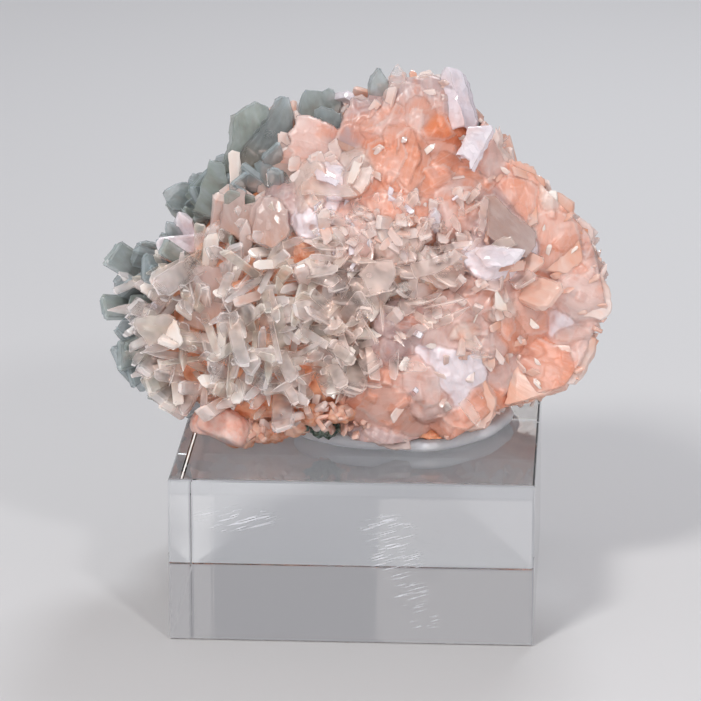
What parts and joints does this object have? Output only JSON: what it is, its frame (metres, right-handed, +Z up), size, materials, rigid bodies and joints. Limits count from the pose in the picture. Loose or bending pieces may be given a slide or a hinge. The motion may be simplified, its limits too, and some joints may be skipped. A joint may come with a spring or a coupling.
{
  "type": "stilbite cluster on a clear display block",
  "caption": "Salmon, cream and grey-green stilbite crystals grown together in a dome, held with white putty on a square clear block.",
  "frame": {"origin": "middle of the block's bottom face", "axes": "+Z up, -Y the front with the clear blades, +X to the right seen from the front"},
  "size_m": [0.1097, 0.0795, 0.1162],
  "materials": {
    "stilbite": "waxy, translucent crystals",
    "putty": "matte putty",
    "acrylic": "clear, polished, lightly scuffed"
  },
  "bodies": {
    "root": {"stilbite_cluster": "stilbite", "putty": "putty", "acrylic_block": "acrylic"}
  },
  "joints": []
}
